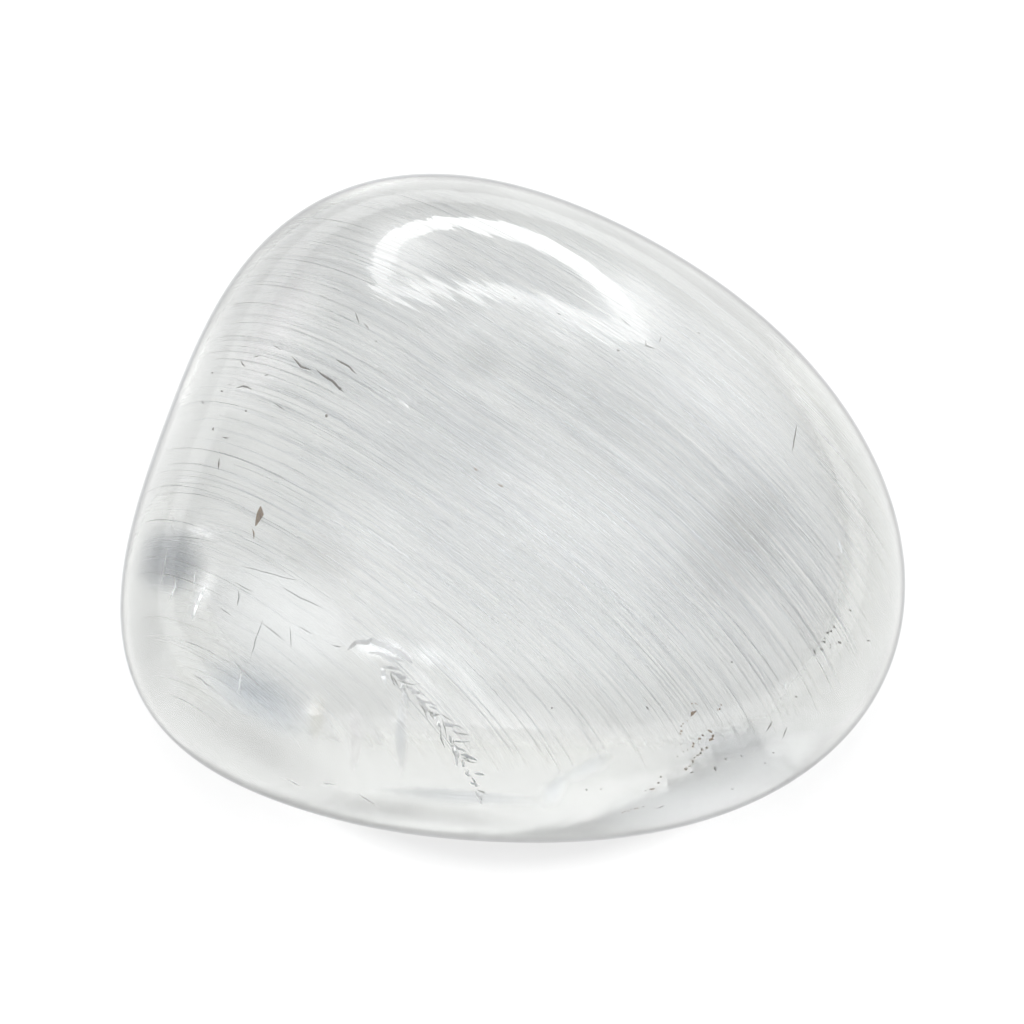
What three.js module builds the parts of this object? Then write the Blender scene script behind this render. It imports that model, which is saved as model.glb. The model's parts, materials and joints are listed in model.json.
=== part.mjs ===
// A tumbled piece of clear selenite: one solid pebble, ground round and polished, resting on its worn underside.
// Millimetres, +Z up. The origin is on the resting face's plane, under the middle of the pebble's box.
// +X runs along the pebble's length, and -Y is the side towards a viewer who looks down on it.
import * as THREE from "three";
import { mergeVertices } from "three/addons/utils/BufferGeometryUtils.js";

// The girdle seen from above: its distance from the pebble's middle, at even steps from +X towards +Y
const GIRDLE_RADII = [18.2, 15.4, 14.5, 16.3, 18.6, 17.7, 18.0, 20.4, 18.2, 16.8, 18.3, 20.0];
const CROWN_HEIGHT = 12.2; // the middle of the girdle to the top
const KEEL_DEPTH = 11.4; // the middle of the girdle to the lowest point, before the underside is worn flat
const REST_DEPTH = 10.9; // the middle of the girdle to the resting face
const REST_EDGE = 0.2; // half the height over which the underside rounds into the resting face
const SHOULDER = 0.07; // how much fuller the pebble is than an ellipsoid, between its girdle and its poles

// Broad places that were cleavage faces before the tumbling: compass direction and height in degrees,
// how far the surface sinks there as a share of its distance from the middle, and the width in radians
const WORN_FACES = [
  { towards: 115, height: 74, sink: 0.04, width: 0.45 },
  { towards: 165, height: 38, sink: 0.03, width: 0.32 },
  { towards: -38, height: 42, sink: 0.025, width: 0.32 },
  { towards: 224, height: -24, sink: 0.035, width: 0.2 },
  { towards: 25, height: -36, sink: 0.03, width: 0.3 },
];

// 5120 faces, each about 1.3 mm across
const SPHERE_DETAIL = 15;

// The girdle as waves. A wave of order k is the real part of its factor times (x + iy)^k,
// so the surface stays smooth over both poles.
function girdleWaves(radii) {
  const count = radii.length;
  const waves = [];
  for (let order = 0; order <= count / 2; order++) {
    const share = (order === 0 || order === count / 2 ? 1 : 2) / count;
    let re = 0;
    let im = 0;
    radii.forEach((radius, step) => {
      const angle = (2 * Math.PI * order * step) / count;
      re += (share * Math.cos(angle)) / radius ** 2;
      im -= (share * Math.sin(angle)) / radius ** 2;
    });
    waves.push({ re, im });
  }
  return waves;
}

const WAVES = girdleWaves(GIRDLE_RADII);

function unitVector(towards, height) {
  const turn = THREE.MathUtils.degToRad(towards);
  const lift = THREE.MathUtils.degToRad(height);
  return new THREE.Vector3(
    Math.cos(lift) * Math.cos(turn),
    Math.cos(lift) * Math.sin(turn),
    Math.sin(lift),
  );
}

// The pebble's surface, seen from its middle in the direction of the unit vector d
function surfacePoint(d) {
  const across = d.x * d.x + d.y * d.y;
  let girdle = WAVES[0].re * across;
  let power = { re: 1, im: 0 };
  for (let order = 1; order < WAVES.length; order++) {
    power = { re: power.re * d.x - power.im * d.y, im: power.re * d.y + power.im * d.x };
    const wave = WAVES[order].re * power.re - WAVES[order].im * power.im;
    girdle += order === 1 ? wave * across : wave;
  }
  const rise = (CROWN_HEIGHT + KEEL_DEPTH) / 2 + ((CROWN_HEIGHT - KEEL_DEPTH) / 2) * d.z;
  let radius = 1 / Math.sqrt(girdle + (d.z / rise) ** 2);
  radius *= 1 + 4 * SHOULDER * across * d.z * d.z;
  for (const { towards, height, sink, width } of WORN_FACES) {
    const nearness = d.dot(unitVector(towards, height)) - 1;
    radius *= 1 - sink * Math.exp(nearness / width ** 2);
  }
  return d.clone().multiplyScalar(radius);
}

// Height over the resting plane, with the crease between the two rounded
function wornHeight(z) {
  const above = z + REST_DEPTH;
  if (above >= REST_EDGE) return above;
  if (above <= -REST_EDGE) return 0;
  return (above + REST_EDGE) ** 2 / (4 * REST_EDGE);
}

function pebbleGeometry() {
  const sphere = new THREE.IcosahedronGeometry(1, SPHERE_DETAIL);
  sphere.deleteAttribute("normal");
  sphere.deleteAttribute("uv");
  const geometry = mergeVertices(sphere, 1e-5);
  const places = geometry.getAttribute("position");
  const direction = new THREE.Vector3();
  for (let i = 0; i < places.count; i++) {
    const p = surfacePoint(direction.fromBufferAttribute(places, i).normalize());
    places.setXYZ(i, p.x, p.y, wornHeight(p.z));
  }
  geometry.computeBoundingBox();
  const middle = geometry.boundingBox.getCenter(new THREE.Vector3());
  geometry.translate(-middle.x, -middle.y, 0);
  geometry.computeVertexNormals();
  return geometry;
}

const clearSelenite = new THREE.MeshStandardMaterial({
  color: 0xdfe3e2,
  roughness: 0.06,
  metalness: 0,
  transparent: true,
  opacity: 0.45,
});

const pebble = new THREE.Mesh(pebbleGeometry(), clearSelenite);
pebble.name = "selenite_pebble";

const part = new THREE.Group();
part.add(pebble);

export default part;
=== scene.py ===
# %% [markdown]
# A tumbled pebble of clear selenite, seen from above on a white table. Selenite is a soft, glassy
# gypsum that grows as a bundle of fine fibres and splits along flat planes. Tumbling has rounded this
# piece and polished its skin, so the light goes in and shows all that is inside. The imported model
# gives the pebble's place and size. This script gives it its finish: a see-through body, and in it
# the fibres, the pearly split planes, the cracks, the pits and a few rust stains.

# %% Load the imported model
import json
import math

import bmesh
import bpy
import numpy as np
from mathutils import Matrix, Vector
from mathutils.bvhtree import BVHTree

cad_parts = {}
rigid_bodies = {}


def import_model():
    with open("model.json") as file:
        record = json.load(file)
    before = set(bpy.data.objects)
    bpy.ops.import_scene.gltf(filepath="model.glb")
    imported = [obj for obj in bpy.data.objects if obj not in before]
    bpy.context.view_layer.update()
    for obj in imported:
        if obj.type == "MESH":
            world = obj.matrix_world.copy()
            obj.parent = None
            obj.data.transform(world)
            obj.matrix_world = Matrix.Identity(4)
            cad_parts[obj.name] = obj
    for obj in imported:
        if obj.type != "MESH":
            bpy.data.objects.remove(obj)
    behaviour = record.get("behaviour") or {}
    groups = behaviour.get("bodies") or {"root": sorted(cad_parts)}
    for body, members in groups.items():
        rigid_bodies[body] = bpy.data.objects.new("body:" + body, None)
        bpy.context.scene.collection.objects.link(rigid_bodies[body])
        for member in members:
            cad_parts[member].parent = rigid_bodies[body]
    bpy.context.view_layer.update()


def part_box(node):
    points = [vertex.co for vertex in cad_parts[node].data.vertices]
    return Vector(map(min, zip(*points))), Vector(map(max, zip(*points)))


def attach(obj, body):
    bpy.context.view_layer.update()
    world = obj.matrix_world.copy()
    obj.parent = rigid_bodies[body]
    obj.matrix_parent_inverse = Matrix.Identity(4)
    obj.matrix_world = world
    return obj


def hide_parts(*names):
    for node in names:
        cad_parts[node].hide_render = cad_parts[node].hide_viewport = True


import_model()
MM = 0.001

# %% [markdown]
# The camera comes first, because much of what is in the stone is laid out as the photograph shows it.
# A photograph of a small thing is taken from far off with a long lens, so that its sides hardly
# converge. The angle above the table was found by matching the pebble's outline and its flat
# underside.

# %% Camera
CAMERA_HEIGHT = math.radians(60)  # above the table
CAMERA_DISTANCE = 275 * MM
AIM = Vector((-0.06, -0.17, 10.4)) * MM
VIEW_RIGHT = Vector((1, 0, 0))
VIEW_UP = Vector((0, math.sin(CAMERA_HEIGHT), math.cos(CAMERA_HEIGHT)))
VIEW_BACK = Vector((0, -math.cos(CAMERA_HEIGHT), math.sin(CAMERA_HEIGHT)))

camera_data = bpy.data.cameras.new("camera")
camera_data.lens = 200
camera_data.sensor_width = 36
camera_data.clip_start = 10 * MM
camera_data.clip_end = 10
camera = bpy.data.objects.new("camera", camera_data)
camera.location = AIM + VIEW_BACK * CAMERA_DISTANCE
camera.rotation_mode = "QUATERNION"
camera.rotation_quaternion = (-VIEW_BACK).to_track_quat("-Z", "Y")
bpy.context.scene.collection.objects.link(camera)
bpy.context.scene.camera = camera
print("camera:", round(CAMERA_DISTANCE / MM), "mm away,", round(math.degrees(CAMERA_HEIGHT)), "degrees up")

# %% [markdown]
# The body is one smooth pebble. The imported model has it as 5120 flat faces, which glass would show as
# facets. It could be smoothed with a subdivision modifier, but that shrinks it, and it would leave
# the model's shape. Its rule is known, so the same rule is run again on a much finer ball: the girdle
# is a sum of waves round the stone, the height is an ellipse, and five broad dents are what the
# tumbling left of the old split faces.

# %% The pebble's surface, from the same driving dimensions as the model
GIRDLE_RADII = [18.2, 15.4, 14.5, 16.3, 18.6, 17.7, 18.0, 20.4, 18.2, 16.8, 18.3, 20.0]
CROWN_HEIGHT = 12.2
KEEL_DEPTH = 11.4
REST_DEPTH = 10.9
REST_EDGE = 0.2
SHOULDER = 0.07
WORN_FACES = [  # compass direction and height in degrees, sink as a share, width in radians
    (115, 74, 0.04, 0.45),
    (165, 38, 0.03, 0.32),
    (-38, 42, 0.025, 0.32),
    (224, -24, 0.035, 0.2),
    (25, -36, 0.03, 0.3),
]


def direction(towards, height):
    turn, lift = math.radians(towards), math.radians(height)
    return np.array([math.cos(lift) * math.cos(turn), math.cos(lift) * math.sin(turn), math.sin(lift)])


def pebble_points(d):
    """Points of the surface, in mm from the middle of the girdle, in the unit directions d."""
    inverse = 1 / np.array(GIRDLE_RADII) ** 2
    count = len(GIRDLE_RADII)
    steps = np.arange(count)
    turn = d[:, 0] + 1j * d[:, 1]
    across = np.abs(turn) ** 2
    girdle = np.zeros(len(d))
    for order in range(count // 2 + 1):
        share = (1 if order in (0, count // 2) else 2) / count
        factor = share * (inverse * np.exp(-2j * math.pi * order * steps / count)).sum()
        wave = (factor * turn**order).real
        girdle += wave * (across if order < 2 else 1)
    rise = (CROWN_HEIGHT + KEEL_DEPTH) / 2 + (CROWN_HEIGHT - KEEL_DEPTH) / 2 * d[:, 2]
    radius = 1 / np.sqrt(girdle + (d[:, 2] / rise) ** 2)
    radius *= 1 + 4 * SHOULDER * across * d[:, 2] ** 2
    for towards, height, sink, width in WORN_FACES:
        radius *= 1 - sink * np.exp((d @ direction(towards, height) - 1) / width**2)
    points = d * radius[:, None]
    above = points[:, 2] + REST_DEPTH
    rounded = (above + REST_EDGE) ** 2 / (4 * REST_EDGE)
    points[:, 2] = np.where(above >= REST_EDGE, above, np.where(above <= -REST_EDGE, 0, rounded))
    return points


def linked(mesh, name):
    piece = bpy.data.objects.new(name, mesh)
    bpy.context.scene.collection.objects.link(piece)
    return piece


ball = bmesh.new()
bmesh.ops.create_icosphere(ball, subdivisions=7, radius=1)
body_mesh = bpy.data.meshes.new("clear_body")
ball.to_mesh(body_mesh)
ball.free()
directions = np.zeros(len(body_mesh.vertices) * 3)
body_mesh.vertices.foreach_get("co", directions)
directions = directions.reshape(-1, 3)
directions /= np.linalg.norm(directions, axis=1)[:, None]
surface = pebble_points(directions) * MM
middle = (surface.max(0) + surface.min(0)) / 2
box_low, box_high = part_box("selenite_pebble")
surface[:, :2] += np.array((box_low + box_high) / 2)[:2] - middle[:2]
body_mesh.vertices.foreach_set("co", surface.ravel())
body_mesh.shade_smooth()
body = linked(body_mesh, "clear_body")
print("clear_body:", len(body_mesh.polygons), "faces,", (np.ptp(surface, axis=0) / MM).round(2), "mm")

# %% [markdown]
# What lies in a clear stone isn't seen where it is: the skin bends the sight line, by Snell's law. A
# mark could be placed by trial and error. Here a pixel's sight line is traced to the skin, bent
# there, and followed inwards, so that each mark sits at a real depth in the stone and still shows
# where it should.

# %% Where a thing inside the pebble appears in the picture
IOR = 1.52
PICTURE = 1024  # pixels across the picture
HALF = PICTURE // 2
PIXEL = camera_data.sensor_width / camera_data.lens / PICTURE  # slope of the sight line for each pixel
skin = BVHTree.FromPolygons([Vector(p) for p in surface], [list(f.vertices) for f in body_mesh.polygons])
GAP = 0.15 * MM  # the least distance between what is inside and the surface


def sight(px, py):
    """The sight line through a pixel, where it meets the skin, and the skin's normal there."""
    ray = (VIEW_RIGHT * (px - HALF) * PIXEL + VIEW_UP * (HALF - py) * PIXEL - VIEW_BACK).normalized()
    hit, normal, _, _ = skin.ray_cast(camera.location, ray)
    return ray, hit, normal


def inside(px, py, depth):
    """The point that shows at a pixel, so many mm along the bent line of sight."""
    ray, hit, normal = sight(px, py)
    if hit is None:
        return None
    slant = -ray.dot(normal)
    bent = ray / IOR + normal * (slant / IOR - math.sqrt(1 - (1 - slant**2) / IOR**2))
    far = skin.ray_cast(hit + bent * GAP / 10, bent)[0]
    room = (far - hit).length - GAP if far else 0
    return hit + bent * max(min(depth * MM, room), room / 2 if room < GAP else GAP)


def shown(points):
    """The pixels at which points of the surface show."""
    offset = points - np.array(camera.location)
    away = -offset @ np.array(VIEW_BACK)
    across = offset @ np.array(VIEW_RIGHT) / away / PIXEL
    up = offset @ np.array(VIEW_UP) / away / PIXEL
    return HALF + across, HALF - up


def blob(u, v, cx, cy, rx, ry, tilt=0):
    """1 in the middle of an ellipse in the picture, and less and less towards its edge and past it."""
    turn = math.radians(tilt)
    along = (u - cx) * math.cos(turn) + (v - cy) * math.sin(turn)
    across = (v - cy) * math.cos(turn) - (u - cx) * math.sin(turn)
    return np.exp(-((along / rx) ** 2 + (across / ry) ** 2))


# %% [markdown]
# Everything in selenite runs with the fibres: the polish, the split planes, even the dirt. One shader
# group gives that grain to every finish: a noise that is stretched along the fibres. It could be an
# image, but a noise on Object coordinates has no seam and goes through the stone as the real grain
# does.

# %% A shader group for streaks that run with the fibres
FIBRE_HEADING = math.radians(-38)


def streak_group():
    tree = bpy.data.node_groups.new("streaks", "ShaderNodeTree")
    for label, value in {"Fineness": 3000.0, "Length": 25.0, "Detail": 3.0}.items():
        tree.interface.new_socket(label, in_out="INPUT", socket_type="NodeSocketFloat").default_value = value
    tree.interface.new_socket("Value", in_out="OUTPUT", socket_type="NodeSocketFloat")
    get = tree.nodes.new("NodeGroupInput").outputs
    place = tree.nodes.new("ShaderNodeTexCoord")
    turned = tree.nodes.new("ShaderNodeMapping")
    turned.inputs["Rotation"].default_value = (0, 0, -FIBRE_HEADING)
    tree.links.new(place.outputs["Object"], turned.inputs["Vector"])
    squeeze = tree.nodes.new("ShaderNodeVectorMath")
    squeeze.operation = "DIVIDE"
    divisor = tree.nodes.new("ShaderNodeCombineXYZ")
    divisor.inputs["Y"].default_value = 1
    tree.links.new(get["Length"], divisor.inputs["X"])
    tree.links.new(get["Length"], divisor.inputs["Z"])
    tree.links.new(turned.outputs[0], squeeze.inputs[0])
    tree.links.new(divisor.outputs[0], squeeze.inputs[1])
    noise = tree.nodes.new("ShaderNodeTexNoise")
    tree.links.new(squeeze.outputs[0], noise.inputs["Vector"])
    tree.links.new(get["Fineness"], noise.inputs["Scale"])
    tree.links.new(get["Detail"], noise.inputs["Detail"])
    end = tree.nodes.new("NodeGroupOutput")
    tree.links.new(noise.outputs["Fac"], end.inputs[0])
    return tree


STREAKS = streak_group()
print("streaks:", [item.name for item in STREAKS.interface.items_tree])


# %% Helpers for the finishes
def streaks(material, **values):
    node = material.node_tree.nodes.new("ShaderNodeGroup")
    node.node_tree = STREAKS
    for label, value in values.items():
        node.inputs[label].default_value = value
    return node.outputs[0]


def new_material(name, **values):
    material = bpy.data.materials.new(name)
    material.use_nodes = True
    coat = material.node_tree.nodes["Principled BSDF"]
    for label, value in values.items():
        coat.inputs[label.replace("_", " ")].default_value = value
    return material, coat


def spread(material, value, low, high, least, most):
    """A Map Range node: low to high becomes least to most."""
    node = material.node_tree.nodes.new("ShaderNodeMapRange")
    for label, number in {"From Min": low, "From Max": high, "To Min": least, "To Max": most}.items():
        node.inputs[label].default_value = number
    material.node_tree.links.new(value, node.inputs["Value"])
    return node.outputs[0]


def blended(material, factor, first, second):
    """A colour between two, by a factor that changes over the surface."""
    node = material.node_tree.nodes.new("ShaderNodeMix")
    node.data_type = "RGBA"
    node.inputs["A"].default_value, node.inputs["B"].default_value = (*first, 1), (*second, 1)
    material.node_tree.links.new(factor, node.inputs["Factor"])
    return node.outputs["Result"]


def attribute(material, name):
    node = material.node_tree.nodes.new("ShaderNodeAttribute")
    node.attribute_name = name
    return node.outputs


def store(mesh, name, values):
    mesh.attributes.new(name, "FLOAT", "POINT").data.foreach_set("value", values)


def store_colour(mesh, name, values):
    mesh.attributes.new(name, "FLOAT_COLOR", "POINT").data.foreach_set("color", values)


# %% [markdown]
# The body's finish. Selenite is as clear as glass and bends light as glass does (index 1.52), with a
# faint grey tint that grows with depth, so the tint is an absorption in the volume and not a colour
# of the skin. The polish is good but follows the fibres: a very low bump, under 0.04 mm, pulls the
# reflections ragged. Near the outline, where the skin turns away from the viewer, the colour of the
# glass is blended to near black: a painted dark outline.

# %% Clear selenite
CLEAR, PAINTED_RIM_SHADE = (0.97, 0.98, 0.98), (0.01, 0.012, 0.02)
clear, glass = new_material("clear_selenite", Roughness=0.06, IOR=IOR, Transmission_Weight=0.93)
nodes, links = clear.node_tree.nodes, clear.node_tree.links
tint = nodes.new("ShaderNodeVolumeAbsorption")
tint.inputs["Color"].default_value = (0.85, 0.852, 0.842, 1)
tint.inputs["Density"].default_value = 62
links.new(tint.outputs[0], nodes["Material Output"].inputs["Volume"])
relief = nodes.new("ShaderNodeBump")
relief.inputs["Strength"].default_value = 0.5
relief.inputs["Distance"].default_value = 0.035 * MM
links.new(streaks(clear, Fineness=1500.0, Length=16.0, Detail=2.0), relief.inputs["Height"])
links.new(relief.outputs[0], glass.inputs["Normal"])
# Painted shade: the colour goes to near black where the skin turns away from the viewer, for a dark outline.
facing = nodes.new("ShaderNodeLayerWeight")
facing.inputs["Blend"].default_value = 0.5
edge = spread(clear, facing.outputs["Facing"], 0.75, 0.85, 0.0, 1.0)
links.new(blended(clear, edge, CLEAR, PAINTED_RIM_SHADE), glass.inputs["Base Color"])
body_mesh.materials.append(clear)
print("clear_selenite: index", IOR, "and absorption density", tint.inputs["Density"].default_value)

# %% [markdown]
# The fibres give selenite its silk. They are hair-thin, some millimetres long, all at one angle, and
# they follow the skin at a small depth. They could be a streaky texture on the skin, but then they
# wouldn't lie at depths and shift against each other when the stone is turned. So they are a mesh: a
# Geometry Nodes tree takes loose points, lays a line at each, drops it on to the skin with a ray,
# sinks it, and sweeps a thin tapered tube along.

# %% The finish of the fibres
DULL_SILK, PALE_SILK = (0.70, 0.74, 0.80), (0.95, 0.975, 1.0)
silk, coat = new_material("silky_fibre", Roughness=0.4)
silk_colour = blended(silk, attribute(silk, "shade")["Fac"], DULL_SILK, PALE_SILK)
silk.node_tree.links.new(silk_colour, coat.inputs["Base Color"])
print("silky_fibre:", DULL_SILK, "to", PALE_SILK)


# %% Helpers for the trees
def new_tree(name, sockets):
    tree = bpy.data.node_groups.new(name, "GeometryNodeTree")
    tree.interface.new_socket("Geometry", in_out="INPUT", socket_type="NodeSocketGeometry")
    for label, kind in sockets.items():
        tree.interface.new_socket(label, in_out="INPUT", socket_type="NodeSocket" + kind)
    tree.interface.new_socket("Geometry", in_out="OUTPUT", socket_type="NodeSocketGeometry")
    return tree


def add(tree, kind, settings=None, **values):
    """A node with its settings and its inputs. A value can be a number or another node's output."""
    node = tree.nodes.new(kind)
    for key, value in (settings or {}).items():
        setattr(node, key, value)
    for key, value in values.items():
        place = int(key[1:]) if key in ("i0", "i1") else key.replace("_", " ")
        socket = node.inputs[place]
        if isinstance(value, bpy.types.NodeSocket):
            tree.links.new(value, socket)
        else:
            socket.default_value = value
    return node.outputs


def run_tree(piece, tree, values):
    """The piece's mesh after the tree, as a plain mesh object of the same name."""
    modifier = piece.modifiers.new(tree.name, "NODES")
    modifier.node_group = tree
    for item in tree.interface.items_tree:
        if item.in_out == "INPUT" and item.name in values:
            modifier[item.identifier] = values[item.name]
    bpy.context.view_layer.update()
    made = bpy.data.meshes.new_from_object(piece.evaluated_get(bpy.context.evaluated_depsgraph_get()))
    piece.modifiers.clear()
    piece.data = made
    made.shade_smooth()
    print(piece.name + ":", len(made.polygons), "faces")
    return piece


# %% The tree of the fibres
DROP = 0.05  # metres above the table, from where the points drop on to the stone


def fibre_tree():
    tree = new_tree(
        "fibres_under_the_surface",
        {
            "Body": "Object",
            "Heading": "Float",
            "Points": "Int",
            "Wander": "Float",
            "Least Rise": "Float",
            "Material": "Material",
        },
    )
    get = tree.nodes.new("NodeGroupInput").outputs
    line = add(tree, "GeometryNodeCurvePrimitiveLine", Start=(-0.5, 0, 0), End=(0.5, 0, 0))
    points = add(tree, "GeometryNodeResampleCurve", Curve=line[0], Count=get["Points"])

    def stored(label):
        return add(tree, "GeometryNodeInputNamedAttribute", {"data_type": "FLOAT"}, Name=label)[0]

    turn = add(tree, "ShaderNodeCombineXYZ", Z=get["Heading"])
    stretch = add(tree, "ShaderNodeCombineXYZ", X=stored("length"), Y=1.0, Z=1.0)
    lines = add(
        tree,
        "GeometryNodeInstanceOnPoints",
        Points=get["Geometry"],
        Instance=points[0],
        Rotation=turn[0],
        Scale=stretch[0],
    )
    loose = add(tree, "GeometryNodeRealizeInstances", Geometry=lines[0])
    # Each point drops on to the pebble's skin, and then goes in by its fibre's depth
    place = add(tree, "GeometryNodeInputPosition")
    up = add(tree, "ShaderNodeCombineXYZ", Z=DROP)
    start = add(tree, "ShaderNodeVectorMath", {"operation": "ADD"}, i0=place[0], i1=up[0])
    down = add(tree, "ShaderNodeVectorMath", {"operation": "SCALE"}, i0=up[0], Scale=-1.0)
    shape = add(tree, "GeometryNodeObjectInfo", Object=get["Body"])
    ray = add(
        tree,
        "GeometryNodeRaycast",
        Target_Geometry=shape["Geometry"],
        Source_Position=start[0],
        Ray_Direction=down[0],
        Ray_Length=2 * DROP,
    )
    into = add(tree, "ShaderNodeMath", {"operation": "MULTIPLY"}, i0=stored("depth"), i1=-1.0)
    sunk = add(
        tree, "ShaderNodeVectorMath", {"operation": "SCALE"}, i0=ray["Hit Normal"], Scale=into[0]
    )
    draped = add(tree, "ShaderNodeVectorMath", {"operation": "ADD"}, i0=ray["Hit Position"], i1=sunk[0])
    noise = add(tree, "ShaderNodeTexNoise", Vector=place[0], Scale=160.0, Detail=1.0)
    centred = add(
        tree, "ShaderNodeVectorMath", {"operation": "SUBTRACT"}, i0=noise["Color"], i1=(0.5, 0.5, 0.5)
    )
    strayed = add(tree, "ShaderNodeVectorMath", {"operation": "SCALE"}, i0=centred[0], Scale=get["Wander"])
    rise = add(tree, "ShaderNodeSeparateXYZ", Vector=ray["Hit Normal"])
    steep = add(tree, "FunctionNodeCompare", {"operation": "LESS_THAN"}, A=rise["Z"], B=get["Least Rise"])
    landed = add(tree, "FunctionNodeBooleanMath", {"operation": "NIMPLY"}, i0=ray["Is Hit"], i1=steep[0])
    missed = add(tree, "FunctionNodeBooleanMath", {"operation": "NOT"}, i0=landed[0])
    # The miss is stored before the points move, because the ray starts from where they are
    noted = add(
        tree,
        "GeometryNodeStoreNamedAttribute",
        {"data_type": "BOOLEAN", "domain": "POINT"},
        Geometry=loose[0],
        Name="missed",
        Value=missed[0],
    )
    moved = add(
        tree, "GeometryNodeSetPosition", Geometry=noted[0], Position=draped[0], Offset=strayed[0]
    )
    gone = add(tree, "GeometryNodeInputNamedAttribute", {"data_type": "BOOLEAN"}, Name="missed")
    kept = add(
        tree, "GeometryNodeDeleteGeometry", {"domain": "POINT"}, Geometry=moved[0], Selection=gone[0]
    )
    along = add(tree, "GeometryNodeSplineParameter")
    arch = add(tree, "ShaderNodeMath", {"operation": "PINGPONG"}, i0=along["Factor"], i1=0.5)
    slim = add(tree, "ShaderNodeMath", {"operation": "POWER"}, i0=arch[0], i1=0.6)
    width = add(tree, "ShaderNodeMath", {"operation": "MULTIPLY"}, i0=slim[0], i1=stored("thick"))
    ring = add(tree, "GeometryNodeCurvePrimitiveCircle", Resolution=3, Radius=1.0)
    solid = add(tree, "GeometryNodeCurveToMesh", Curve=kept[0], Profile_Curve=ring[0], Scale=width[0])
    whole = add(tree, "GeometryNodeRealizeInstances", Geometry=solid[0])
    dressed = add(tree, "GeometryNodeSetMaterial", Geometry=whole[0], Material=get["Material"])
    end = tree.nodes.new("NodeGroupOutput")
    tree.links.new(dressed[0], end.inputs[0])
    return tree


FIBRES = fibre_tree()
print("fibre tree:", len(FIBRES.nodes), "nodes")

# %% Where the fibres start
rng = np.random.default_rng(7)
TO_SKY = Vector((0, 0, DROP))
REACH = 18  # mm from the middle, within which fibres start


def seeds(name, count, length, depth, thick, shade, weight):
    """Loose points, each with what its fibre needs to know, in mm. A pair of numbers is a range."""
    places, pixels = [], []
    while len(places) < count:
        x, y = rng.uniform(-REACH, REACH, 2) * MM
        hit, normal, _, _ = skin.ray_cast(Vector((x, y, 0)) + TO_SKY, -TO_SKY)
        chance = rng.random()
        if hit is None:
            continue
        u, v = shown(np.array(hit)[None])
        facing = normal.dot(VIEW_BACK)
        if chance > weight(u[0], v[0], facing):
            continue
        places.append((x, y, 0))
        pixels.append((u[0], v[0]))
    places, pixels = np.array(places), np.array(pixels)
    mesh = bpy.data.meshes.new(name)
    mesh.vertices.add(count)
    mesh.vertices.foreach_set("co", places.ravel())
    wanted = {"length": (length, 1.5), "depth": (depth, 1), "thick": (thick, 2)}
    for label, ((least, most), power) in wanted.items():
        values = (least + (most - least) * rng.random(count) ** power) * MM
        store(mesh, label, values)
    tone = np.clip(shade(pixels[:, 0], pixels[:, 1]) + rng.normal(0, 0.12, count), 0, 1)
    store(mesh, "shade", tone)
    return linked(mesh, name)


# %% Where the silk is rich, bare, bright and dull
GRAZING = 0.3  # how little the skin may face the viewer where a fibre starts


def silk_weight(u, v, facing):
    """The chance that a fibre starts at a pixel, where the skin turns so much towards the viewer."""
    if facing < GRAZING:
        return 0.0
    rim = min(1, (facing - GRAZING) / GRAZING)
    bare = blob(u, v, 275, 625, 85, 65) + blob(u, v, 790, 735, 120, 75) + 0.8 * blob(u, v, 330, 770, 150, 50)
    bare += 0.8 * blob(u, v, 205, 440, 75, 130, 15)
    rich = 0.35 + 0.9 * blob(u, v, 560, 480, 260, 190, 35)
    return rim * rich * max(0, 1 - bare)


def silk_shade(u, v):
    """0 for a dull fibre and 1 for a pale one."""
    dark = 0.75 * blob(u, v, 735, 560, 130, 70, -48) + 0.5 * blob(u, v, 300, 430, 90, 60)
    return 0.85 - dark - 0.35 * blob(u, v, 480, 370, 60, 40)


def all_pale(u, v):
    return np.ones(len(u))


# %% Make the fibres. An open one holds air, and mirrors as silver does.
bright, coat = new_material("bright_fibre", Base_Color=(0.96, 0.98, 1.0, 1), Metallic=1.0)
grain = streaks(bright, Fineness=2500.0, Length=6.0, Detail=2.0)
bright.node_tree.links.new(spread(bright, grain, 0.3, 0.7, 0.22, 0.38), coat.inputs["Roughness"])
common = {
    "Body": body,
    "Heading": FIBRE_HEADING,
    "Points": 9,
    "Wander": 0.25 * MM,
    "Least Rise": 0.25,
    "Material": silk,
}
silky = run_tree(
    seeds("silky_fibres", 3000, (3, 14), (0.5, 5), (0.006, 0.020), silk_shade, silk_weight),
    FIBRES,
    common,
)
needles = run_tree(
    seeds("bright_needles", 1100, (3, 16), (0.2, 3.0), (0.010, 0.036), all_pale, silk_weight),
    FIBRES,
    {**common, "Points": 14, "Wander": 0.12 * MM, "Material": bright},
)


# %% A few long, bright ones
def long_weight(u, v, facing):
    if facing < 0.5:
        return 0
    return min(1, blob(u, v, 560, 500, 250, 130, 38) + 0.6 * blob(u, v, 380, 560, 140, 80, 35))


long_needles = run_tree(
    seeds("long_needles", 110, (5, 17), (0.2, 1.0), (0.022, 0.055), all_pale, long_weight),
    FIBRES,
    {**common, "Points": 18, "Wander": 0.10 * MM, "Material": bright},
)

# %% [markdown]
# Selenite splits along flat planes, and where it has begun to, a thin pearly sheet hangs in the clear
# stone. Some are milky and scatter the light, and some hold a film of air and flash. Solid plates
# would look like paper. Each veil here is a stack of sheets that cover little each, thin out to
# nothing at the edge, and are broken up by the streaks, so a veil has some depth and no outline.

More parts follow.
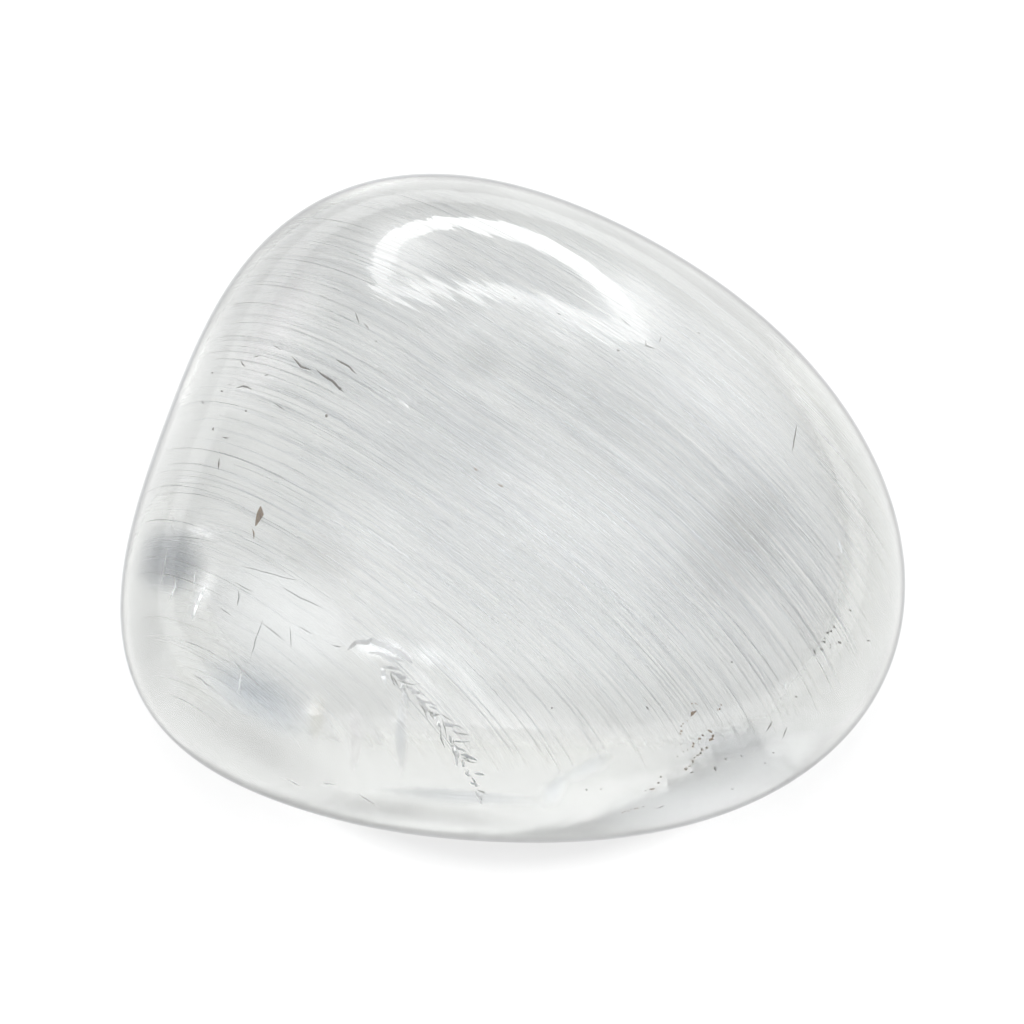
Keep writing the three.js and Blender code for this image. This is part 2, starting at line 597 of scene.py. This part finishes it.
# %% The finishes of the veils
def veil_material(name, **values):
    veil, coat = new_material(name, **values)
    links = veil.node_tree.links
    links.new(attribute(veil, "tone")["Color"], coat.inputs["Base Color"])
    fine = spread(veil, streaks(veil, Fineness=2400.0, Length=18.0, Detail=2.0), 0.35, 0.65, 0.0, 1.0)
    patchy = veil.node_tree.nodes.new("ShaderNodeMix")
    patchy.inputs["A"].default_value = 1.0
    links.new(attribute(veil, "grain")["Fac"], patchy.inputs["Factor"])
    links.new(fine, patchy.inputs["B"])
    seen = veil.node_tree.nodes.new("ShaderNodeMath")
    seen.operation = "MULTIPLY"
    links.new(attribute(veil, "cover")["Fac"], seen.inputs[0])
    links.new(patchy.outputs[0], seen.inputs[1])
    links.new(seen.outputs[0], coat.inputs["Alpha"])
    return veil


soft_veil = veil_material("veil_and_painted_light_and_shade", Roughness=0.5)
bright_veil = veil_material("bright_veil", Metallic=1.0, Roughness=0.35)
print("veil finishes:", soft_veil.name, "and", bright_veil.name)


# %% Helpers for a round sheet
PULL_BACK = 12  # a point past the outline comes back by such a part of its distance, until it is in


def round_sheet(cx, cy, rx, ry, tilt, rings, spokes, place_at, ripple=0):
    """An ellipse of the picture, ring by ring: each point's share of the radius, pixel and place."""
    turn = math.radians(tilt)
    for ring in range(rings + 1):
        share = ring / rings
        for spoke in range(spokes):
            angle = 2 * math.pi * spoke / spokes
            wobble = 1 + ripple * (0.05 * math.sin(3 * angle + cx) + 0.03 * math.sin(5 * angle + cy))
            a, b = rx * share * wobble * math.cos(angle), ry * share * wobble * math.sin(angle)
            px = cx + a * math.cos(turn) - b * math.sin(turn)
            py = cy + a * math.sin(turn) + b * math.cos(turn)
            while (place := place_at(px, py)) is None:
                px, py = px + (cx - px) / PULL_BACK, py + (cy - py) / PULL_BACK
            yield share, px, py, place


def web(first, rings, spokes):
    """The faces between rings of points, of which the first has this number."""
    faces = []
    for row in range(first, first + rings * spokes, spokes):
        for spoke in range(spokes):
            a, b = row + spoke, row + (spoke + 1) % spokes
            faces.append((a, a + spokes, b + spokes, b))
    return faces


# %% A stack of sheets for each veil
VEIL_RINGS, VEIL_SPOKES = 12, 36
FAINT = 0.22  # the most that one sheet covers
SHEET_GAP = 0.3  # mm between the sheets of a veil
CRISP_EDGE = 0.08  # the share of the radius over which a crisp edge thins out


def stacked(patches):
    """Each veil as the sheets that together cover as much, one behind the other."""
    sheets = []
    for *outline, depth, colour, strength, soft, crisp, streaky in patches:
        number = math.ceil(math.log(1 - strength) / math.log(1 - FAINT))
        each = 1 - (1 - strength) ** (1 / number)
        for k in range(number):
            sheets.append((outline, depth + SHEET_GAP * k, colour, each, soft, crisp, streaky))
    return sheets


def veils(name, material, patches):
    """Thin sheets inside the pebble, each an ellipse of the picture at a depth in mm."""
    places, faces, cover, tone, grain = [], [], [], [], []
    sheets = stacked(patches)
    for outline, depth, colour, strength, soft, crisp, streaky in sheets:
        cx, cy = outline[:2]
        faces += web(len(places), VEIL_RINGS, VEIL_SPOKES)
        points = round_sheet(
            *outline, VEIL_RINGS, VEIL_SPOKES, lambda px, py: inside(px, py, depth), ripple=1
        )
        for share, px, py, place in points:
            places.append(place)
            edge = soft
            if crisp is not None:
                toward = math.cos(math.atan2(py - cy, px - cx) - math.radians(crisp))
                edge = soft + (CRISP_EDGE - soft) * min(1, max(0, 0.5 + toward))
            fall = min(1, max(0, (1 - share) / edge))
            cover.append(strength * fall * fall * (3 - 2 * fall))
            tone += [*colour, 1]
            grain.append(streaky)
    mesh = bpy.data.meshes.new(name)
    mesh.from_pydata(places, [], faces)
    store(mesh, "cover", cover)
    store(mesh, "grain", grain)
    store_colour(mesh, "tone", tone)
    mesh.shade_smooth()
    mesh.materials.append(material)
    print(name + ":", len(sheets), "sheets,", len(faces), "faces")
    return linked(mesh, name)


# %% Milky and smoky veils, and sheets of painted light and shade
WHITE, COOL, SMOKE = (0.96, 0.98, 1.0), (0.66, 0.72, 0.80), (0.30, 0.33, 0.38)
GREY_TONE_AND_PAINTED_SHADE, WARM, PINK = (0.45, 0.45, 0.44), (0.98, 0.97, 0.90), (0.96, 0.92, 0.95)
veils_and_painted_sheets = veils(
    "cleavage_veils",
    soft_veil,
    [  # middle, radii, tilt, depth, colour, strength, softness, direction of the crisp edge, streaks
        (540, 470, 300, 170, 35, 2.5, WHITE, 0.22, 0.8, None, 1.0),
        (560, 500, 320, 200, 35, 5.0, WHITE, 0.22, 0.8, None, 1.0),
        (470, 450, 90, 40, 35, 3.5, COOL, 0.4, 0.9, None, 0.8),
        (170, 560, 42, 44, 0, 2.0, SMOKE, 0.85, 0.9, None, 0.5),
        (258, 696, 76, 34, 32, 3.5, COOL, 0.8, 1.0, None, 0.5),
        (325, 556, 56, 36, 20, 4.0, GREY_TONE_AND_PAINTED_SHADE, 0.4, 1.0, None, 0.5),
        (480, 362, 42, 26, 20, 4.0, GREY_TONE_AND_PAINTED_SHADE, 0.4, 1.0, None, 0.3),
        (732, 548, 118, 60, -48, 3.0, GREY_TONE_AND_PAINTED_SHADE, 0.5, 0.9, None, 0.6),
        (272, 335, 100, 34, -62, 2.5, PINK, 0.4, 0.9, None, 0.3),
        # Painted light: the next three white sheets lighten the lower right, which the bent sight line
        # leaves darker.
        (765, 768, 125, 52, -28, 1.5, WHITE, 0.55, 0.9, None, 0.3),
        (680, 805, 105, 30, -12, 1.5, WHITE, 0.6, 0.9, None, 0.3),
        (726, 742, 56, 20, -12, 1.2, WHITE, 0.6, 0.9, None, 0.3),
        # Painted light: a broad pale band that evens out a step in brightness along the lower part, where
        # the bent sight line changes.
        (500, 752, 250, 36, 0, 3.5, WARM, 0.22, 0.9, None, 0.6),
        # Painted shade: the grey sheets from here on darken the rims, the bottom one most, on the stone's
        # shaded lower side.
        (390, 810, 170, 17, 6, 1.0, GREY_TONE_AND_PAINTED_SHADE, 0.65, 1.0, None, 0.6),
        (262, 748, 120, 30, 30, 1.5, GREY_TONE_AND_PAINTED_SHADE, 0.4, 1.0, None, 0.6),
        (150, 640, 24, 100, 0, 1.5, GREY_TONE_AND_PAINTED_SHADE, 0.3, 1.0, None, 0.6),
        (824, 756, 70, 20, -46, 1.0, GREY_TONE_AND_PAINTED_SHADE, 0.4, 1.0, None, 0.4),
        (876, 690, 18, 80, 25, 1.0, GREY_TONE_AND_PAINTED_SHADE, 0.3, 1.0, None, 0.4),
    ],
)

# %% Veils that hold air
flashes = veils(
    "bright_veils",
    bright_veil,
    [  # in the same order
        (285, 622, 86, 62, 32, 3.0, WHITE, 0.3, 0.7, 160, 0.3),
        (554, 790, 22, 13, -55, 2.0, WHITE, 0.93, 1.0, None, 0.6),
        (588, 768, 36, 11, -25, 2.0, WHITE, 0.85, 1.0, None, 0.8),
        (317, 716, 11, 28, 4, 2.0, WARM, 0.9, 1.0, None, 0.5),
        (401, 735, 7, 44, 0, 2.0, WHITE, 0.9, 1.0, None, 0.3),
        (355, 735, 9, 40, 0, 2.0, PINK, 0.5, 1.0, None, 0.3),
        (455, 796, 95, 9, 4, 1.5, WHITE, 0.9, 1.0, None, 0.4),
        (470, 672, 85, 22, 48, 2.5, WHITE, 0.6, 1.0, None, 1.0),
        (384, 649, 38, 12, 12, 1.5, WHITE, 0.8, 1.0, None, 0.3),
        (430, 655, 22, 15, 30, 2.0, WHITE, 0.6, 1.0, None, 0.5),
        (198, 600, 10, 34, 25, 1.5, WHITE, 0.7, 1.0, None, 0.8),
        (205, 532, 28, 8, 5, 1.5, WHITE, 0.7, 1.0, None, 0.8),
        (195, 690, 20, 40, -30, 2.0, WARM, 0.4, 1.0, None, 0.8),
        (700, 395, 75, 9, 40, 2.0, WHITE, 0.6, 1.0, None, 1.0),
        (560, 545, 150, 12, 36, 2.0, WHITE, 0.45, 1.0, None, 1.0),
        (735, 690, 120, 40, -40, 2.0, WHITE, 0.22, 1.0, None, 0.8),
    ],
)

# %% [markdown]
# Small damage tells that the stone is real: black dirt in pits of the skin, rust in a few cracks,
# grey scratches that show against the bright window, and short cracks that hold air and glint white.
# They could be painted on the skin, but the bent sight line makes them move as one turns the stone.
# Each is a thin sliver of mesh along a line of the picture, at its depth, with a width that wavers.

# %% The finishes of the marks
def mottled(name, dark, pale, **values):
    """A finish that varies between two colours, in short streaks."""
    material, coat = new_material(name, **values)
    noise = streaks(material, Fineness=9000.0, Length=3.0, Detail=2.0)
    uneven = spread(material, noise, 0.35, 0.65, 0.0, 1.0)
    material.node_tree.links.new(blended(material, uneven, dark, pale), coat.inputs["Base Color"])
    return material


fleck = mottled("dark_fleck", (0.06, 0.05, 0.04), (0.15, 0.13, 0.11), Roughness=0.7)
stain = mottled("iron_stain", (0.13, 0.08, 0.04), (0.30, 0.19, 0.10), Roughness=0.8)
flake = mottled("bright_flake", (0.92, 0.93, 0.94), (0.99, 0.99, 0.99), Metallic=1.0, Roughness=0.4)
print("mark finishes:", fleck.name, stain.name, flake.name)

# %% Slivers along lines of the picture
SPECK = 0.0483 * MM  # a pixel of the picture, on the pebble
MARK_STEP = 5  # pixels between a sliver's points
SHAKE = 0.010  # mm by which its points stray


def marks(name, material, lines, up=VIEW_BACK, thick=0.5):
    """Thin slivers along lines of the picture: width in pixels, depth in mm, then the line's corners."""
    places, faces = [], []
    for width, depth, *corners in lines:
        if len(corners) == 1:  # a pit: a sliver about as long as it is wide
            x, y = corners[0]
            corners = [(x - width * 0.6, y - 0.3), (x, y), (x + width * 0.6, y + 0.3)]
        path = []
        for (ax, ay), (bx, by) in zip(corners, corners[1:]):
            steps = max(2, int(math.hypot(bx - ax, by - ay) / MARK_STEP))
            for i in range(steps):
                path.append(inside(ax + (bx - ax) * i / steps, ay + (by - ay) * i / steps, depth))
        path.append(inside(*corners[-1], depth))
        path = [point + Vector(rng.normal(0, SHAKE, 3)) * MM * min(width, 3) for point in path]
        first = len(places)
        for i, point in enumerate(path):
            ahead = (path[min(i + 1, len(path) - 1)] - path[max(i - 1, 0)]).normalized()
            side = ahead.cross(up).normalized()
            over = side.cross(ahead).normalized()
            share = i / (len(path) - 1)
            size = width * 0.5 * SPECK * max(0.12, math.sin(math.pi * share) ** 0.6)
            size *= 0.75 + 0.5 * rng.random()
            over *= size * thick
            places += [point + side * size, point + over, point - side * size, point - over]
        for i in range(len(path) - 1):
            for k in range(4):
                a, b = first + 4 * i + k, first + 4 * i + (k + 1) % 4
                faces.append((a, b, b + 4, a + 4))
        last = first + 4 * (len(path) - 1)
        faces += [(first + 3, first + 2, first + 1, first), (last, last + 1, last + 2, last + 3)]
    mesh = bpy.data.meshes.new(name)
    mesh.from_pydata(places, [], faces)
    mesh.materials.append(material)
    print(name + ":", len(lines), "slivers,", len(faces), "faces")
    return linked(mesh, name)


# %% Dark pits in the skin
def dotted(*corners, gap, size):
    """A broken line of specks along the corners."""
    specks = []
    for (ax, ay), (bx, by) in zip(corners, corners[1:]):
        for i in range(max(1, round(math.hypot(bx - ax, by - ay) / gap))):
            share = (i + rng.random()) * gap / math.hypot(bx - ax, by - ay)
            x, y = ax + (bx - ax) * share + rng.normal(0, 0.7), ay + (by - ay) * share + rng.normal(0, 0.7)
            specks.append((size * rng.uniform(0.5, 1.3), 0.25, (x, y)))
    return specks


pits = marks(
    "dark_pits",
    fleck,
    [
        (1.2, 0.2, (273, 345), (281, 350)),
        (1.8, 0.2, (292, 356), (301, 367), (312, 370)),
        (2.2, 0.2, (316, 370), (328, 378), (344, 392)),
        (3.0, 0.2, (340, 388)),
        (1.8, 0.2, (336, 360), (345, 364), (357, 374)),
        (3.0, 0.2, (326, 416)),
        (1.2, 0.2, (355, 312), (359, 324)),
        (1.4, 0.2, (364, 323), (369, 330)),
        (1.2, 0.2, (376, 341)),
        (1.6, 0.2, (253, 357), (261, 355)),
        (1.8, 0.2, (240, 361), (245, 367)),
        (1.6, 0.2, (264, 376), (269, 374)),
        (1.6, 0.2, (236, 388), (243, 386), (252, 389)),
        (1.4, 0.2, (212, 373)),
        (1.8, 0.2, (222, 391)),
        (1.8, 0.2, (246, 411)),
        (2.6, 0.2, (213, 427), (214, 431)),
        (1.4, 0.2, (222, 437), (229, 438)),
        (2.0, 0.2, (219, 458), (218, 470)),
        (1.0, 0.2, (274, 403), (285, 410)),
        (3.0, 0.2, (715, 767), (716, 771)),
        (2.2, 0.2, (692, 772)),
        (1.6, 0.2, (726, 759)),
        (1.6, 0.2, (742, 756)),
        (1.6, 0.2, (765, 763)),
        (1.4, 0.2, (773, 753)),
        (1.8, 0.2, (766, 731), (773, 721)),
        (1.8, 0.2, (783, 738), (787, 727)),
        (1.8, 0.2, (796, 697)),
        *dotted((834, 627), (824, 638), (822, 648), (842, 642), gap=4, size=2.0),
        (1.4, 0.2, (813, 649), (816, 655)),
        (1.8, 0.2, (850, 610)),
        (1.2, 0.2, (866, 641), (871, 641)),
        (1.8, 0.2, (655, 809), (665, 805)),
        (1.8, 0.2, (631, 809)),
        (1.6, 0.2, (586, 790)),
        (1.6, 0.2, (601, 789)),
        (1.6, 0.2, (552, 708)),
        (1.6, 0.2, (732, 662)),
        (1.6, 0.2, (732, 789)),
        (1.6, 0.2, (649, 710), (646, 706)),
        (1.6, 0.2, (699, 333)),
        (2.0, 0.2, (618, 350)),
        (1.6, 0.2, (515, 298)),
        (1.2, 0.2, (555, 312), (563, 316)),
        (1.2, 0.2, (620, 317), (631, 327)),
        (1.2, 0.2, (645, 340), (646, 345), (655, 349)),
        (1.0, 0.2, (661, 337), (659, 343)),
        (1.2, 0.2, (792, 452), (797, 423)),
    ],
)

# %% Scratches before the bright window
scratch = mottled("grey_scratch", (0.22, 0.22, 0.22), (0.38, 0.38, 0.39), Roughness=0.6)
scratches = marks(
    "window_scratches",
    scratch,
    [
        (0.8, 0.2, (234, 582), (253, 592)),
        (1.2, 0.2, (238, 590), (239, 598), (237, 606)),
        (1.1, 0.2, (263, 619), (255, 641), (251, 657)),
        (0.8, 0.2, (242, 566), (287, 578), (298, 580)),
        (1.0, 0.2, (282, 587), (301, 598), (322, 607)),
        (0.8, 0.2, (290, 627), (291, 649)),
        (0.8, 0.2, (261, 622), (285, 641)),
        (0.8, 0.2, (298, 626), (312, 634)),
        (0.8, 0.2, (220, 608), (231, 615)),
        (1.1, 0.2, (332, 645), (342, 647)),
    ],
)

# %% Rust in cracks
rust = marks(
    "iron_stains",
    stain,
    [
        (7.0, 0.3, (260, 507), (260, 514), (255, 527)),
        (1.6, 0.3, (253, 528), (254, 539)),
        (4.0, 0.3, (696, 711), (690, 716)),
        *dotted((688, 718), (682, 724), (681, 735), gap=4, size=1.6),
        *dotted((710, 729), (713, 737), (708, 745), (697, 755), (685, 771), gap=4, size=2.2),
        *dotted((710, 729), (701, 738), (690, 748), (679, 755), gap=5, size=1.6),
        *dotted((665, 775), (652, 789), (640, 790), gap=5, size=2.0),
        *dotted((716, 713), (722, 704), gap=4, size=1.6),
        *dotted((700, 703), (690, 706), gap=4, size=1.2),
        *dotted((646, 805), (628, 812), (618, 813), gap=5, size=1.8),
        (1.6, 0.3, (474, 468), (478, 470)),
        (1.6, 0.3, (498, 484), (504, 487)),
    ],
)

# %% Short cracks that glint
cracks = marks(
    "bright_cracks",
    flake,
    [
        (1.4, 1.0, (167, 547), (165, 565), (162, 584)),
        (1.6, 1.0, (176, 574), (175, 587), (170, 600)),
        (2.4, 1.0, (206, 584), (199, 600), (192, 619)),
        (1.6, 1.0, (195, 571), (194, 587)),
        (3.0, 1.0, (199, 534), (210, 532)),
        (2.0, 1.0, (215, 528), (234, 531)),
        (2.0, 1.0, (188, 515)),
        (1.6, 1.0, (229, 655), (242, 670), (261, 688)),
        (1.4, 1.0, (242, 670), (238, 692)),
        (1.6, 1.0, (192, 673), (202, 680), (214, 689)),
        (2.4, 1.0, (343, 578), (348, 585)),
        (2.4, 1.0, (352, 617), (366, 626)),
        (3.0, 1.0, (357, 598), (365, 605)),
        (2.0, 1.0, (285, 779), (301, 787)),
        (2.0, 1.0, (357, 793), (376, 805)),
        (2.0, 1.0, (322, 783), (337, 785)),
        (1.8, 1.0, (200, 400), (205, 405)),
        (2.4, 1.0, (387, 420), (391, 425)),
        (3.0, 1.0, (838, 540), (842, 552)),
        (2.4, 1.0, (836, 556), (839, 558)),
        (2.4, 1.0, (784, 681), (786, 688)),
        (2.0, 1.0, (384, 388), (392, 394)),
        (2.0, 1.0, (397, 398), (410, 410)),
        (1.6, 1.0, (352, 519), (380, 538), (412, 560)),
    ],
    up=Vector((0, 0, 1)),
    thick=0.08,
)

# %% [markdown]
# One larger crack runs down like a feather: a curled white head, a spine, and barbs that follow the
# two directions in which selenite splits. Drawing every barb isn't needed. A loop walks down the
# spine and grows barbs in those two directions, pale where the crack is open and dark where it is
# seen on edge.

# %% The feather: a crack with barbs on both sides
HEAD = [(346, 650), (356, 643), (372, 642), (390, 648), (408, 658), (412, 664)]
SPINE = [(384, 664), (402, 684), (424, 704), (442, 722), (455, 742), (463, 764), (478, 802)]


def along(corners, share):
    place = share * (len(corners) - 1)
    i = min(int(place), len(corners) - 2)
    (ax, ay), (bx, by) = corners[i], corners[i + 1]
    return ax + (bx - ax) * (place - i), ay + (by - ay) * (place - i)


pale_lines, dark_lines = [(7.0, 1.2, *HEAD), (5.0, 1.4, (368, 652), (392, 658), (406, 662))], []
BARBS = 46
STEEP, FLAT = 72, 18  # the two directions of the barbs in the picture, in degrees
ON_EDGE = 0.35  # the share of them that looks dark
for i in range(BARBS):
    x, y = along(SPINE, i / BARBS)
    x, y = x + rng.normal(0, 3), y + rng.normal(0, 2)
    reach = rng.uniform(9, 26) * (1 - 0.3 * i / BARBS)
    heading = math.radians(rng.normal(STEEP, 8) if i % 2 else rng.normal(FLAT, 10))
    end = (x + reach * math.cos(heading), y + reach * math.sin(heading))
    bend = ((x + end[0]) / 2 + rng.normal(0, 1), (y + end[1]) / 2 + rng.normal(0, 1))
    line = (rng.uniform(2.0, 5.0), rng.uniform(0.8, 2.2), (x, y), bend, end)
    (dark_lines if rng.random() < ON_EDGE else pale_lines).append(line)
feather = marks("feather_crack", flake, pale_lines, up=Vector((0, 0, 1)), thick=0.08)
shadow = mottled("feather_shadow", (0.32, 0.32, 0.31), (0.45, 0.45, 0.44), Roughness=0.5)
barbs = marks("feather_shadow", shadow, [(w * 0.4, d - 0.3, *c) for w, d, *c in dark_lines])

# %% [markdown]
# The stone lies on white paper in a tent of soft light, as small things are photographed for a shop.
# A clear stone shows its surroundings more than itself, so the tent does most of the work: the paper
# shines up through the stone, the sky is even with a dark horizon, and a ring lamp and reflectors are
# mirrored in the polish. Each reflector hangs where the polish mirrors it at its place in the
# picture.

# %% The paper
WIDE, BELOW = 3, -0.02 * MM  # metres from the middle to the edge, and just under the stone
table_mesh = bpy.data.meshes.new("table")
corners = [(-WIDE, -WIDE, BELOW), (WIDE, -WIDE, BELOW), (WIDE, WIDE, BELOW), (-WIDE, WIDE, BELOW)]
table_mesh.from_pydata(corners, [], [(0, 1, 2, 3)])
table = linked(table_mesh, "table")
paper, coat = new_material("lit_table", Roughness=0.9, Emission_Strength=1.0)
where = paper.node_tree.nodes.new("ShaderNodeTexCoord")
FAR = 100  # mm, the length of the ramps


def rings(x, y, *steps):
    """Values at distances in mm from a place on the paper."""
    reach = paper.node_tree.nodes.new("ShaderNodeVectorMath")
    reach.operation = "DISTANCE"
    reach.inputs[1].default_value = (x * MM, y * MM, 0)
    away = paper.node_tree.nodes.new("ShaderNodeMath")
    away.operation = "DIVIDE"
    away.inputs[1].default_value = FAR * MM
    ramp = paper.node_tree.nodes.new("ShaderNodeValToRGB")
    stops = ramp.color_ramp.elements
    for i, (distance, number) in enumerate(steps):
        stop = stops[i] if i < 2 else stops.new(1)
        stop.position, stop.color = distance / FAR, (number, number, number, 1)
    paper.node_tree.links.new(where.outputs["Object"], reach.inputs[0])
    paper.node_tree.links.new(reach.outputs["Value"], away.inputs[0])
    paper.node_tree.links.new(away.outputs[0], ramp.inputs["Fac"])
    return ramp.outputs["Color"]


lit = rings(0, 0, (15, 0.46), (95, 0.0), (19, 0.04), (46, 0.04))
# Painted shadow: the paper's colour is darker close round the stone, most of all in a ring just past its
# edge.
shade = [(12.6, 0.36), (13.6, 0.38), (15, 0.56)]  # where the stone's edge keeps the light off
pale = rings(0, 0, (11, 0.52), (95, 0.30), *shade, (19, 0.80), (46, 0.80))
card = rings(15, -28, (7, 1.5), (15, 0.0))  # a bright place that lights the front right of the stone
both = paper.node_tree.nodes.new("ShaderNodeMix")
both.data_type, both.blend_type = "RGBA", "ADD"
both.inputs["Factor"].default_value = 1.0
paper.node_tree.links.new(lit, both.inputs["A"])
paper.node_tree.links.new(card, both.inputs["B"])
paper.node_tree.links.new(both.outputs["Result"], coat.inputs["Emission Color"])
paper.node_tree.links.new(pale, coat.inputs["Base Color"])
table_mesh.materials.append(paper)
print("table:", 2 * WIDE, "m across")

# %% The tent
world = bpy.data.worlds.new("tent")
bpy.context.scene.world = world
world.use_nodes = True
sky = world.node_tree
way = sky.nodes.new("ShaderNodeTexCoord")
parts = sky.nodes.new("ShaderNodeSeparateXYZ")
dome = sky.nodes.new("ShaderNodeMapRange")
dome.interpolation_type = "SMOOTHSTEP"
for label, number in {"From Min": 0.0, "From Max": 0.5, "To Min": 0.15, "To Max": 1.2}.items():
    dome.inputs[label].default_value = number
sky.links.new(way.outputs["Generated"], parts.inputs[0])
sky.links.new(parts.outputs["Z"], dome.inputs["Value"])


def brighter(total, towards, height, low, high, most):
    """Adds a soft bright place to the sky. Low and high are cosines of its outer and inner radius."""
    near = sky.nodes.new("ShaderNodeVectorMath")
    near.operation = "DOT_PRODUCT"
    near.inputs[1].default_value = direction(towards, height)
    lobe = sky.nodes.new("ShaderNodeMapRange")
    lobe.interpolation_type = "SMOOTHSTEP"
    for label, number in {"From Min": low, "From Max": high, "To Min": 0.0, "To Max": most}.items():
        lobe.inputs[label].default_value = number
    both = sky.nodes.new("ShaderNodeMath")
    sky.links.new(way.outputs["Generated"], near.inputs[0])
    sky.links.new(near.outputs["Value"], lobe.inputs["Value"])
    sky.links.new(total, both.inputs[0])
    sky.links.new(lobe.outputs[0], both.inputs[1])
    return both.outputs[0]


total = brighter(dome.outputs[0], -90, 65, 0.62, 0.88, 1.5)
total = brighter(total, 103, 51, 0.92, 0.985, 0.12)
sky.links.new(total, sky.nodes["Background"].inputs["Strength"])
sky.nodes["Background"].inputs["Color"].default_value = (1, 1, 1, 1)
print("sky:", len(sky.nodes), "nodes")

# %% The ring lamp: its outer and inner line, as they show on the stone
RING = [
    ((370, 269), (391, 268)),
    ((376, 248), (397, 251)),
    ((391, 231), (408, 241)),
    ((417, 220), (427, 233)),
    ((450, 216), (451, 229)),
    ((484, 219), (480, 232)),
    ((518, 226), (513, 239)),
    ((553, 240), (543, 251)),
    ((587, 259), (574, 268)),
    ((614, 284), (595, 289)),
    ((636, 311), (611, 308)),
    ((655, 344), (619, 323)),
    ((620, 342), (594, 317)),
    ((586, 327), (568, 307)),
    ((552, 312), (537, 295)),
    ((512, 302), (502, 286)),
    ((469, 297), (465, 282)),
    ((425, 298), (425, 282)),
    ((391, 302), (398, 287)),
    ((373, 292), (390, 281)),
]
RING_DISTANCE = 400  # mm from the stone
RING_GLOW = 7.0


def mirrored(px, py, distance):
    """Where a light has to hang to be mirrored at a pixel of the picture."""
    ray, hit, normal = sight(px, py)
    return hit and hit + ray.reflect(normal) * distance * MM


ring_mesh = bpy.data.meshes.new("ring_lamp")
rows = [mirrored(*corner, RING_DISTANCE) for pair in RING for corner in pair]
count = len(rows)
ring_faces = [(i, i + 1, (i + 3) % count, (i + 2) % count) for i in range(0, count, 2)]
ring_mesh.from_pydata(rows, [], ring_faces)
ring = linked(ring_mesh, "ring_lamp")
glow, coat = new_material("lamp_glow", Base_Color=(0, 0, 0, 1), Emission_Strength=1.0)
shining = attribute(glow, "glow")
glow.node_tree.links.new(shining["Color"], coat.inputs["Emission Color"])
glow.node_tree.links.new(shining["Alpha"], coat.inputs["Alpha"])
store_colour(ring_mesh, "glow", [RING_GLOW, RING_GLOW, RING_GLOW, 1.0] * count)
ring_mesh.materials.append(glow)
print("ring_lamp:", len(ring_faces), "faces")

# %% Soft reflectors
LAMP_RINGS, LAMP_SPOKES = 8, 32
LAMP_DISTANCE, LAMP_STEP = 420, 4  # mm to the first reflector, and from each to the next


def soft_lamps(name, spots):
    """Soft reflectors that are mirrored as ellipses of the picture: middle, radii, tilt, brightness."""
    places, faces, glows = [], [], []
    for number, (*outline, brightness) in enumerate(spots):
        distance = LAMP_DISTANCE + LAMP_STEP * number
        faces += web(len(places), LAMP_RINGS, LAMP_SPOKES)
        points = round_sheet(
            *outline, LAMP_RINGS, LAMP_SPOKES, lambda px, py: mirrored(px, py, distance)
        )
        for share, _, _, place in points:
            places.append(place)
            glows += [brightness] * 3 + [(1 - share**2) ** 2]
    mesh = bpy.data.meshes.new(name)
    mesh.from_pydata(places, [], faces)
    store_colour(mesh, "glow", glows)
    mesh.materials.append(glow)
    print(name + ":", len(spots), "reflectors")
    return linked(mesh, name)


reflectors = soft_lamps(
    "soft_reflectors",
    [
        (402, 258, 55, 55, 0, 4.5),
        (630, 312, 62, 46, 40, 5.0),
        (560, 325, 110, 30, 15, 3.0),
        (700, 380, 180, 80, 45, 3.0),
        (545, 500, 160, 80, 36, 3.6),
        (280, 340, 130, 40, -58, 3.0),
        (505, 735, 130, 55, 10, 3.6),
        (315, 716, 13, 30, 4, 6.0),
        (401, 735, 9, 46, 0, 7.0),
        (355, 735, 10, 42, 0, 3.5),
        (384, 650, 40, 15, 10, 7.0),
        (425, 690, 52, 16, 48, 5.0),
        (470, 690, 90, 14, 52, 4.0),
        (430, 655, 22, 16, 30, 5.0),
        (690, 395, 70, 9, 38, 5.0),
        (600, 440, 120, 8, 36, 3.5),
        (285, 620, 84, 56, 35, 2.4),
        (205, 590, 12, 34, 20, 5.0),
        (205, 530, 24, 8, 10, 5.0),
    ],
)

# %% How light is found
# Rays sent straight at a lamp would all stop at the pebble's skin, so bounced rays find the lamps.
for lamp_material in (glow, paper):
    lamp_material.cycles.emission_sampling = "NONE"
world.cycles.sampling_method = "NONE"
for lamp in (ring, reflectors):
    lamp.visible_diffuse = lamp.visible_transmission = lamp.visible_camera = lamp.visible_shadow = False

scene = bpy.context.scene
scene.view_settings.view_transform = "Standard"
scene.view_settings.look = "None"
scene.cycles.max_bounces = 9
scene.cycles.glossy_bounces = 5
scene.cycles.transmission_bounces = 8
scene.cycles.diffuse_bounces = 2
scene.cycles.transparent_max_bounces = 32
scene.cycles.sample_clamp_indirect = 4

# %% [markdown]
# Nothing on the pebble moves, so every piece rides on its one body. The smooth body stands for the
# imported model's pebble, which is hidden.

# %% Attach the pieces to their body
SLOTS = {
    body: "clear_selenite",
    silky: "silky_fibre",
    needles: "silky_fibre",
    long_needles: "silky_fibre",
    veils_and_painted_sheets: "silky_fibre",
    flashes: "silky_fibre",
    pits: "iron_stain",
    scratches: "iron_stain",
    rust: "iron_stain",
    cracks: "silky_fibre",
    feather: "silky_fibre",
    barbs: "silky_fibre",
}
for piece, finish in SLOTS.items():
    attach(piece, "root")
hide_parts("selenite_pebble")
